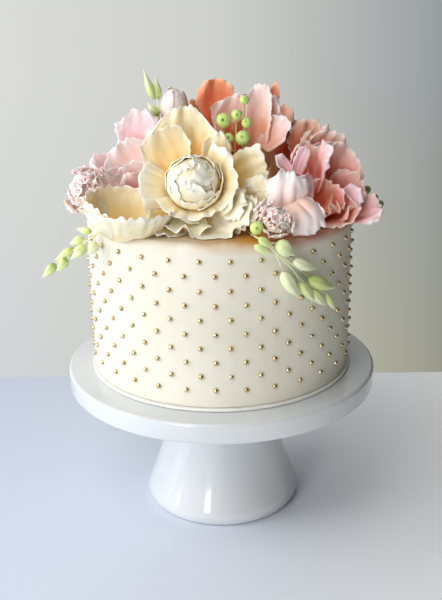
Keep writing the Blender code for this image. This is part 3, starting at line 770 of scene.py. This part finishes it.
def coral_peony():
    """The coral peony on the right, open, with mauve frills inside it."""
    finish = petal_paste(
        "coral_petal_paste",
        ((216, 98, 68), (238, 144, 112), (247, 188, 164), (253, 224, 212)),
        ((220, 128, 120), (238, 176, 180), (243, 204, 214), (251, 232, 238)),
    )
    petals = [
        ((60, 10, 71), 34, dict(start=(60, -6, 28), cup=25, frill=7, ragged=1.8, pale=-0.3)),
        ((72, 12, 70), 32, dict(start=(68, -6, 28), cup=25, frill=7, ragged=1.8, pale=-0.3)),
        ((84, 12, 63), 32, dict(start=(74, -6, 26), cup=30, frill=5, pale=-0.1)),
        ((93, -1, 61), 42, dict(start=(76, -12, 22), belly=9, cup=45, tone=0.3, frill=5)),
        ((99, -10, 52), 54, dict(start=(78, -20, 18), belly=11, cup=60, tone=0.35, columns=56, pale=-0.15)),
        ((111, -22, 28), 36, dict(start=(84, -24, 14), belly=6, cup=45, tone=0.4)),
        ((107, -36, 24), 20, dict(start=(92, -32, 8), belly=3, cup=35, tone=1.0, pale=0.5)),
        ((125, -36, 9), 34, dict(start=(90, -36, 4), faces=(0.1, -0.4, 0.9), belly=4, square=0.08, tone=0.7)),
        ((90, -64, 3), 52, dict(start=(78, -34, 6), faces=(0.05, -0.3, 0.95), belly=7, cup=55, ragged=2,
                                tone=0.3)),
        ((66, -32, 55), 11, dict(start=(58, -38, 36), belly=1, cup=30, frill=2, base=0.8, square=0.1,
                                 pale=0.4, tone=1.4)),
        ((46, -31, 49), 14, dict(start=(54, -35, 36), belly=3, cup=50, tone=1.3, base=0.6, pale=0.4)),
        ((76, -18, 56), 27, dict(start=(74, -30, 18), faces=(-0.93, -0.25, 0.15), belly=3, cup=30, frill=7,
                                 ruffle=3.2, ragged=1.8, base=0.7, square=0.12, tone=0.8, pale=-0.2)),
        ((68, -18, 57), 30, dict(start=(66, -26, 22), belly=6, cup=45, tone=0.3, pale=-0.3)),
        ((66, -40, 36), 22, dict(start=(64, -40, 12), belly=3, cup=40, tone=1.0, pale=0.3)),
        ((94, -42, 23), 24, dict(start=(82, -34, 8), belly=4, cup=50, frill=6, tone=0.4, pale=-0.2)),
        ((101, -46, 13), 26, dict(start=(86, -36, 4), belly=4, cup=40, frill=6, tone=0.3, pale=-0.2)),
        ((84, -52, 14), 26, dict(start=(76, -40, 4), belly=4, cup=45, frill=6, tone=0.2, pale=-0.2)),
        ((74, -56, 14), 24, dict(start=(70, -50, 4), belly=3, cup=40, pale=-0.2)),
        ((104, 34, 28), 48, dict(cup=35)),
        ((78, 36, 50), 44, dict(cup=35)),
        ((114, 12, 30), 40, dict(cup=35)),
        ((82, -34, 30), 26, dict(start=(70, -36, 4), belly=3, cup=40, pale=-0.35)),
    ]
    flower("coral_peony", finish, "coral_petal", (68, -12, 20), (0.35, -0.6, 0.72), petals, core=11)


def pink_peony():
    """The pale pink peony on the left, seen from its side."""
    finish = petal_paste(
        "pink_petal_paste",
        ((255, 202, 184), (255, 224, 218), (254, 236, 238), (255, 246, 248)),
        ((242, 172, 164), (238, 190, 194), (242, 208, 214), (252, 236, 240)),
    )
    petals = [
        ((-64, -4, 79), 40, dict(start=(-56, -12, 32), cup=45, tone=1.0, square=0.1)),
        ((-48, -10, 68), 34, dict(start=(-48, -14, 34), cup=30)),
        ((-76, -14, 57), 46, dict(start=(-58, -18, 24), belly=7, cup=30, frill=5, ragged=1.6)),
        ((-97, -13, 45), 34, dict(start=(-74, -14, 22), belly=5, cup=40, ragged=1.2, tone=0.8)),
        ((-70, -24, 42), 36, dict(start=(-60, -22, 22), belly=5, cup=35)),
        ((-90, -24, 34), 30, dict(start=(-72, -22, 18), belly=5, cup=40, frill=5)),
        ((-68, -32, 37), 26, dict(start=(-58, -26, 18), belly=3, cup=40, ruffle=2, tone=1.0)),
        ((-99, -34, 14), 42, dict(belly=5, cup=30)),
        ((-94, 30, 32), 48, dict(cup=35)),
        ((-74, 34, 58), 44, dict(cup=35)),
        ((-104, 12, 22), 40, dict(cup=35)),
    ]
    flower("pink_peony", finish, "pink_petal", (-56, -4, 20), (-0.35, -0.6, 0.72), petals, core=10)


def blush_peony():
    """The tall flower at the middle of the back, some of its petals a deep coral."""
    finish = petal_paste(
        "blush_petal_paste",
        ((236, 158, 126), (244, 198, 184), (249, 216, 212), (254, 236, 236)),
        ((222, 104, 62), (236, 134, 92), (242, 158, 120), (247, 190, 160)),
    )
    petals = [
        ((-2, 31, 100), 32, dict(start=(-2, 24, 64), cup=30, frill=6, tone=1.0, ragged=1.6, square=0.05)),
        ((-22, 29, 84), 16, dict(start=(-4, 24, 66), cup=30, frill=3, tone=1.0, ragged=1.6)),
        ((15, 17, 88), 41, dict(start=(10, 12, 50), cup=35, frill=4, square=-0.06)),
        ((34, 8, 98), 23, dict(start=(30, -2, 48), belly=3, cup=50, twist=-15, frill=2, base=0.8,
                               square=0.08)),
        ((44, 9, 88), 14, dict(start=(38, 8, 60), belly=2, cup=40, frill=2, base=0.6, curl=4)),
        ((46, 16, 98), 9, dict(start=(43, 20, 76), belly=1, cup=50, frill=1, base=0.6, tone=0.8)),
        ((58, 16, 78), 24, dict(start=(38, 8, 66), belly=4, cup=40, tone=0.6)),
        ((53, -3, 73), 25, dict(start=(34, -9, 50), belly=4, cup=30, square=0.12, base=0.7, pale=0.1)),
        # a petal low in the middle, all in the deep coral tone: partly the flower's own colour, partly
        # painted shade of its shaded inside
        ((21, 6, 71), 38, dict(start=(20, 8, 40), belly=5, cup=30, tone=1.0, pale=-0.2)),
        ((46, 62, 66), 44, dict(belly=7, cup=35)),
        ((0, 70, 64), 46, dict(belly=7, cup=35)),
        ((-20, 2, 60), 38, dict(cup=35, tone=0.4)),
        ((24, 48, 86), 40, dict(cup=35)),
        ((-22, 40, 74), 40, dict(cup=35, tone=0.3)),
    ]
    flower("blush_peony", finish, "blush_petal", (22, 26, 46), (0.05, -0.4, 0.9), petals, core=10)


def front_pink_petal():
    """Two broad ribbed petals that lean out between the peonies."""
    colours = ((252, 210, 196), (253, 226, 224), (254, 234, 234), (255, 244, 240))
    finish = petal_paste("front_petal_paste", colours)
    fluted = dict(belly=-6, lip=0, frill=2, ruffle=1.2, pleat=0.8)
    petals = [
        ((51, -72, 45), 33, dict(fluted, start=(46, -70, 8), cup=-45, ragged=2.2, base=0.6)),
        ((69, -85, 2), 34, dict(fluted, start=(52, -74, 24), cup=-40, ragged=2.0, base=0.6)),
    ]
    flower("front_pink_petal", finish, "pink_petal", (38, -76, 6), (0.15, -0.9, 0.4), petals, core=4)


# flowers at the back: petals in each ring, how far the middle stands out and how far petals' tips do, in mm
REAR_PETALS = 5
REAR_MIDDLE = 9
REAR_LIFT = 14


def rear_flower(name, finish, slot, heart, looks, radius):
    """A full flower at the back, its petals evenly round a closed middle."""
    axis = Vector(looks).normalized()
    across = axis.orthogonal().normalized()
    petals = []
    for ring, (share, rise) in enumerate(((1.0, 0), (0.72, 10))):
        for k in range(REAR_PETALS):
            spoke = Matrix.Rotation(math.tau * (k + 0.3 + 0.5 * ring) / REAR_PETALS, 3, axis) @ across
            tip = Vector(heart) + share * radius * spoke + (REAR_LIFT + rise) * axis
            tip.z = max(tip.z, 3)
            petals.append((tuple(tip), 1.15 * share * radius, dict(belly=7)))
    centre = Vector(heart) + REAR_MIDDLE * axis
    wraps = [(centre, 120 * k, 76, 13.0 + 0.6 * k, 30 + 6 * k, {}) for k in range(3)]
    flower(name, finish, slot, heart, looks, petals, wraps, (), [(centre, 12, 0.75)])


def rear_flowers():
    """The pink and the ivory peony that close the back of the posy."""
    pinks = ((230, 140, 126), (238, 180, 176), (242, 206, 208), (246, 226, 228))
    ivories = ((236, 200, 140), (246, 226, 182), (247, 240, 218), (252, 250, 242))
    pink = petal_paste("rear_pink_paste", pinks)
    ivory = petal_paste("rear_ivory_paste", ivories)
    rear_flower("rear_pink_peony", pink, "pink_petal", (-42, 44, 20), (-0.35, 0.66, 0.66), 46)
    rear_flower("rear_ivory_peony", ivory, "ivory_petal", (50, 62, 18), (0.42, 0.7, 0.58), 42)


# where each tuft of tiny blossoms sits
LEFT_BLOSSOMS = [
    (-95, -42, 30), (-104, -32, 30), (-93, -30, 38), (-110, -38, 20), (-102, -46, 18), (-113, -30, 12),
    (-100, -38, 37), (-107, -44, 26), (-96, -49, 23), (-112, -36, 13), (-86, -36, 37), (-105, -28, 37),
    (-109, -30, 22), (-90, -42, 34), (-104, -42, 32), (-99, -50, 14),
]
RIGHT_BLOSSOMS = [
    (30, -88, 23), (34, -90, 22), (38, -92, 21), (42, -93, 18), (47, -93, 15), (50, -92, 12), (32, -91, 18),
    (36, -95, 18), (40, -98, 14), (45, -96, 11), (34, -96, 7), (35, -97, 12), (39, -98, 9), (41, -98, 5),
    (42, -98, 17), (44, -99, 12),
]


# a tuft: one blossom in its middle and three round it, which lean out by LEAN for each metre between them
TUFT = 4
TUFT_SPREAD = 3.4 * MM
LEAN = 40
WIRE_RADIUS = 0.5 * MM


def blossom(bm, centre, looks, size, tone, seed):
    """Five tiny petals round one place, each about size mm long."""
    across = looks.orthogonal().normalized()
    shape = dict(root=0.05, belly=0.5, lip=0.3, frill=1.2, ruffle=0.6, ragged=0.7, pleat=0)
    for k in range(5):
        spoke = Matrix.Rotation(math.tau * k / 5 + seed, 3, looks) @ across
        tip = (centre + size * MM * (spoke + 0.4 * looks) - Vector((0, 0, CAKE_TOP))) / MM
        petal(bm, centre, looks, tuple(tip), size * 0.95, tone=tone, rows=5, columns=7, seed=seed * 5 + k,
              **shape)


def blossom_cluster(name, finish, places, foot, size, cream_below):
    """Tufts of tiny blossoms bunched on wires, those lower than cream_below in the cream tone."""
    centres = [from_top(*spot) for spot in places]
    middle = sum(centres, Vector()) / len(centres)
    bm = new_sheet()
    for number, (spot, centre) in enumerate(zip(places, centres)):
        looks = (centre - middle).normalized()
        tone = 1.0 if spot[2] < cream_below else 0.0
        beside = looks.orthogonal().normalized()
        for k in range(TUFT):
            turn = Matrix.Rotation(math.tau * k / (TUFT - 1) + number, 3, looks)
            shift = turn @ beside * TUFT_SPREAD if k else Vector()
            blossom(bm, centre + shift, (looks + LEAN * shift).normalized(), size, tone, number * TUFT + k)
    bm = thickened(bm, BLOSSOM_THICKNESS)
    for centre in centres:
        looks = (centre - middle).normalized()
        ball(bm, centre - TUFT_SPREAD * looks, 2.4 * MM, 0.7, subdivisions=2, lumps=0.2)
        tapered(bm, [middle, centre], [WIRE_RADIUS] * 2, 8, (0.2, 0.2))
    tapered(bm, [from_top(*foot, WIRE_FOOT), middle], [0.8 * MM] * 2, 8, (0.0, 0.1))
    ball(bm, middle, size * MM, 0.7, subdivisions=3, lumps=0.2)
    add_piece(name, bm, finish, "blossom_pink", name)


def blossoms():
    """The two clusters of tiny blossoms, one in front of the pink peony and one over the front edge."""
    finish = petal_paste(
        "blossom_paste",
        ((238, 184, 166), (254, 224, 222), (255, 240, 240), (255, 252, 250)),
        ((226, 182, 150), (250, 226, 206), (254, 238, 224), (255, 249, 242)),
    )
    blossom_cluster("blossoms_left", finish, LEFT_BLOSSOMS, (-84, -34), 4.2, 20)
    blossom_cluster("blossoms_right", finish, RIGHT_BLOSSOMS, (37, -82), 4.0, 14.5)


def pink_bud():
    """The closed bud at the top: three petals wrapped round a tall ball, with mauve freckles."""
    colours = ((254, 202, 180), (255, 228, 212), (255, 240, 232), (255, 236, 238))
    finish = petal_paste("bud_paste", colours, freckles=(206, 164, 184))
    centre = from_top(-35, 9, 79)
    foot = from_top(-34, 14, WIRE_FOOT)
    up = Vector((0.04, -0.2, 1)).normalized()
    radius, tallness = 10, 1.6
    bm = new_sheet()
    for k in range(3):
        out = radius + 0.3 + 0.25 * k
        wrap_petal(bm, centre, 120 * k + 70, 74, out, 14 + 9 * k, up, flare=0, ruffle=0.3, squash=tallness,
                   reach_from=0.4, seed=k)
    bm = thickened(bm)
    ball(bm, centre, radius * MM, 0.5, up, tallness)
    tapered(bm, [foot, centre], [1.2 * MM, 1.2 * MM], 10, (0, 0.1))
    add_piece("pink_bud", bm, finish, "blossom_pink", "pink_bud")


# name, centre, radius, where the wire meets the cake's top, and material slot
BERRIES = [
    ("berry_high_left", (4, -22, 74), 5.6, (6, -12), "berry_green"),
    ("berry_high_mid", (14, -22, 78), 4.2, (10, -9), "berry_green"),
    ("berry_high_right", (21.5, -22, 72), 4.0, (17, -9), "berry_green"),
    ("berry_low_left", (7.5, -26, 61), 4.2, (8, -16), "berry_green"),
    ("berry_low_right", (18.5, -26, 61), 5.8, (15, -15), "berry_green"),
    ("berry_top", (20, -14, 88), 3.6, (19, -4), "berry_green"),
    ("berry_front", (26, -98, 10), 4.7, (22, -86), "berry_green"),
    ("berry_dark_high", (119, 6, 13), 3.3, (93, 6), "leaf_green"),
    ("berry_dark_mid", (124, -2, 8), 3.3, (94, 0), "leaf_green"),
    ("berry_dark_low", (130, 6, 1), 3.3, (96, 11), "leaf_green"),
]


# a berry's dimple, as a share of its radius, and how wide it and the dark eye are, in radians from its middle
DIMPLE = 0.1
DIMPLE_WIDTH = 0.22
EYE_WIDTH = 0.12
EYE_RIM = 0.6


def berries():
    """Round berries with a dimple and a dark eye, each on its own wire."""
    bright = green_paste("berry_paste", (56, 78, 28), (184, 208, 106), (212, 228, 150))
    dark = green_paste("dark_berry_paste", (40, 54, 22), (108, 126, 62), (140, 156, 92))
    for number, (name, spot, radius, foot, slot) in enumerate(BERRIES):
        centre = from_top(*spot)
        drift = noise.noise_vector(Vector((number * 3.1, 1.3, 0.4)))
        eye = Vector((0.5 * drift.x, -1, 0.35 + 0.5 * drift.y)).normalized()
        bm = new_sheet()
        made = ball(bm, Vector(), radius * MM, 1.0, eye, squash=0.94, lumps=0.04)
        reach_layer = bm.verts.layers.float["reach"]
        for v in made:
            off = v.co.normalized().angle(eye)
            v[reach_layer] = 0.2 + 1.6 * max(0, off - EYE_WIDTH) if off < EYE_RIM else 0.75
            v.co -= eye * DIMPLE * radius * MM * math.exp(-((off / DIMPLE_WIDTH) ** 2))
            v.co += centre
        end = from_top(*foot, WIRE_FOOT)
        middle = end.lerp(centre, 0.5) + Vector((0, -1.5 * MM, 0))
        tapered(bm, [end, middle, centre], [0.55 * MM] * 3, 8, (0.5, 0.6), 0.8)
        add_piece(name, bm, bright if slot == "berry_green" else dark, slot, name)


# a bud's outline: how far along it, and its radius there as a share of the widest
BUD_OUTLINE = [
    (0.0, 0.1), (0.06, 0.55), (0.14, 0.82), (0.26, 0.98), (0.38, 1.0), (0.5, 0.92),
    (0.62, 0.74), (0.74, 0.5), (0.85, 0.26), (0.94, 0.12), (1.0, 0.05),
]
# how far a bud sags, as a share of its length, and how deep its seam is, as a share of its radius
BUD_SAG = 0.04
BUD_CREASE = 0.2
STALK_RADIUS = 0.6 * MM
STEM_RADIUS = 0.38 * MM


def bud(bm, start, end, radius, pale):
    """A fat pointed bud with a soft seam, drawn out to a fine tip."""
    span = end - start
    sag = Vector((0, 0, BUD_SAG * span.length))
    points = [start + span * far - sag * math.sin(math.pi * far) for far, _ in BUD_OUTLINE]
    radii = [share * radius * MM for _, share in BUD_OUTLINE]
    tapered(bm, points, radii, 20, (pale, 1.0), crease=BUD_CREASE)


def spray(name, finish, stalk, buds):
    """Pointed buds on a bent stalk.

    A row holds the point of the stalk where a bud's stem leaves it, its base, tip, radius and paleness.
    """
    points = [from_top(*p) for p in stalk]
    bm = new_sheet()
    tapered(bm, points, [STALK_RADIUS] * len(points), 10, (0.6, 0.8))
    for leaves, base, tip, radius, pale in buds:
        start, end = from_top(*base), from_top(*tip)
        bud(bm, start, end, radius, pale)
        tapered(bm, [points[leaves], start.lerp(end, 0.1)], [STEM_RADIUS] * 2, 8, (0.7, 0.9))
    add_piece(name, bm, finish, "bud_green", name)


def sprays():
    """The sprays of green buds: at the right over the front edge, at the left, and at the top."""
    finish = green_paste("spray_paste", (146, 172, 74), (208, 220, 150), (236, 241, 208))
    stalk = [
        (21, -78, 1.5), (26, -101, 4), (31, -109, 3), (38, -109, -4), (51, -102, -19), (58, -98.5, -29),
    ]
    buds = [
        (2, (27, -109, 6), (38, -108, -2), 3.1, 0.2),
        (2, (24, -110, 1), (37, -109, -6), 2.9, 0.3),
        (2, (40, -107, 2), (53, -103, -9), 5.7, 0.55),
        (2, (52, -102, -13), (71, -90, -23), 4.2, 0.85),
        (3, (44, -106, -20), (57, -99, -42), 5.0, 0.7),
        (3, (64, -96, -28), (86, -77, -42), 5.0, 0.15),
        (4, (57, -100, -30), (70, -92, -48), 3.4, 0.35),
        (4, (66, -94, -38), (78, -85, -53), 3.8, 0.4),
        (5, (77, -86, -43), (86, -77, -60), 2.6, 0.3),
    ]
    spray("bud_spray_right", finish, stalk, buds)
    stalk = [
        (-72, -44, 1.5), (-84, -56, 2), (-93, -63, -4), (-100, -66, -8), (-110, -68, -14), (-122, -69, -23),
    ]
    buds = [
        (2, (-95, -61, -1), (-107, -58, 1), 2.9, 0.2),
        (2, (-91, -66, -8), (-97, -74, -15), 4.1, 0.5),
        (3, (-101, -63, -5), (-112, -62, -10), 3.5, 0.3),
        (3, (-99, -69, -9), (-110, -72, -19), 4.1, 0.25),
        (4, (-108, -66, -12), (-123, -67, -21), 3.5, 0.1),
        (4, (-113, -70, -19), (-121, -72, -28), 3.8, 0.1),
        (5, (-122, -69, -23), (-132, -72, -33), 3.7, 0.1),
    ]
    spray("bud_spray_left", finish, stalk, buds)
    stalk = [(-43, 14, 0.9), (-46, 4, 66), (-47, 3, 89)]
    buds = [
        (2, (-49, 3, 87), (-57, 3, 110), 3.4, 0.3),
        (2, (-46, 4, 87), (-48, 5, 105), 3.1, 0.2),
        (1, (-46, 2, 75), (-55, 2, 85), 3.5, 0.1),
    ]
    spray("bud_spray_top", finish, stalk, buds)


# ---------------------------------------------------------------- floor, light and camera


def floor():
    """A pale floor, warmer towards the right. It ends a little way behind the cake."""
    half_width, half_depth, middle = 2.5, 1.445, -1.2
    bm = bmesh.new()
    points = bmesh.ops.create_grid(bm, x_segments=2, y_segments=2, size=1)["verts"]
    bmesh.ops.scale(bm, vec=(half_width, half_depth, 1), verts=points)
    bmesh.ops.translate(bm, vec=(0, middle, 0), verts=points)
    mesh = bpy.data.meshes.new("floor")
    bm.to_mesh(mesh)
    bm.free()
    paint = Finish("floor_paint", 0.5)
    rightward = paint.span(paint.axes()[0], -0.3, 0.35)
    paint.colour(paint.ramp(rightward, (0, srgb(214, 222, 242)), (1, srgb(248, 250, 250))))
    mesh.materials.append(paint.material)
    made = bpy.data.objects.new("floor", mesh)
    bpy.context.collection.objects.link(made)


def window(name, place, size, power, tint, aim=(0, 0, 0.2), glints=True):
    """A tall soft window of light. glints says whether glaze and gold mirror it."""
    light = bpy.data.lights.new(name, "AREA")
    light.shape = "RECTANGLE"
    light.size, light.size_y = size
    light.energy = power
    light.color = tint
    made = bpy.data.objects.new(name, light)
    bpy.context.collection.objects.link(made)
    made.location = place
    made.rotation_euler = (Vector(aim) - Vector(place)).to_track_quat("-Z", "Y").to_euler()
    made.visible_glossy = glints


def windows():
    """The windows at the left and in front, one overhead, and a low fill that nothing mirrors."""
    warm = (1.0, 0.985, 0.95)
    window("left_window", (-1.25, -0.25, 0.6), (0.6, 1.1), 7.5, (0.98, 0.985, 1.0))
    window("front_pane_left", (-0.8, -1.3, 0.6), (0.2, 0.5), 2.7, warm)
    window("front_pane_right", (-0.6, -1.42, 0.5), (0.24, 0.56), 2.6, warm)
    window("low_fill", (-0.8, -1.5, 0.2), (1.0, 0.4), 5.6, (1.0, 1.0, 0.98), (0, 0, 0.1), False)
    window("high_window", (-0.42, -0.75, 1.4), (0.8, 0.8), 4.6, (1.0, 0.99, 0.97))


# the backdrop's colour from straight left to straight right: pale to past the middle, then dark
BACKDROP_TINTS = [
    (0.0, (244, 247, 252)), (0.39, (219, 220, 216)), (0.5, (207, 208, 203)), (0.61, (156, 161, 163)),
    (0.67, (92, 89, 74)), (0.8, (64, 62, 54)), (1.0, (58, 57, 52)),
]
# what tints it low down, at the left and at the right
BACKDROP_FOOT_TINTS = [(0.38, (0.89, 0.92, 0.99, 1)), (0.6, (1.03, 0.97, 0.76, 1))]
# how far the dark part reaches round towards the front
FRONT_SHIFT = -0.3


def room_light():
    """Soft light from all round: a pale backdrop, brighter to the left, that is dim at the right."""
    world = bpy.data.worlds.new("room")
    bpy.context.scene.world = world
    world.use_nodes = True
    room = Nodes(world.node_tree)
    x, y, z = room.axes("Generated")
    towards_front = room.maths("MAXIMUM", room.maths("MULTIPLY", y, FRONT_SHIFT), 0.0)
    spread = room.span(room.maths("ADD", x, towards_front), -1.0, 1.0)
    low = room.span(z, -0.1, -0.42)
    stops = [(stop, srgb(*tint)) for stop, tint in BACKDROP_TINTS]
    backdrop = room.ramp(spread, *stops, interpolation="LINEAR")
    foot = room.ramp(spread, *BACKDROP_FOOT_TINTS, interpolation="LINEAR")
    background = room.tree.nodes["Background"]
    room.link(room.mix(low, backdrop, foot, "MULTIPLY"), background.inputs["Color"])
    background.inputs["Strength"].default_value = 1.0


def camera():
    """The photograph's view of the cake."""
    focal_pixels, long_side_pixels, sensor = 913.2, 600, 36
    pitch, roll = math.radians(19.418), -0.0126
    lens = bpy.data.cameras.new("camera")
    lens.sensor_width = sensor
    lens.lens = focal_pixels * sensor / long_side_pixels
    lens.clip_start, lens.clip_end = 0.05, 20
    made = bpy.data.objects.new("camera", lens)
    bpy.context.collection.objects.link(made)
    place = Matrix.Translation((0.0004, -0.7174, 0.4303))
    made.matrix_world = place @ Matrix.Rotation(math.pi / 2 - pitch, 4, "X") @ Matrix.Rotation(roll, 4, "Z")
    bpy.context.scene.camera = made


noise.seed_set(DRIFT_SEED)
glazed_stand()
covered_board()
covered_cake()
gold_pearls()
ivory_peony()
coral_peony()
pink_peony()
blush_peony()
front_pink_petal()
rear_flowers()
blossoms()
pink_bud()
berries()
sprays()
floor()
room_light()
windows()
camera()
bpy.context.scene.view_settings.view_transform = "Standard"
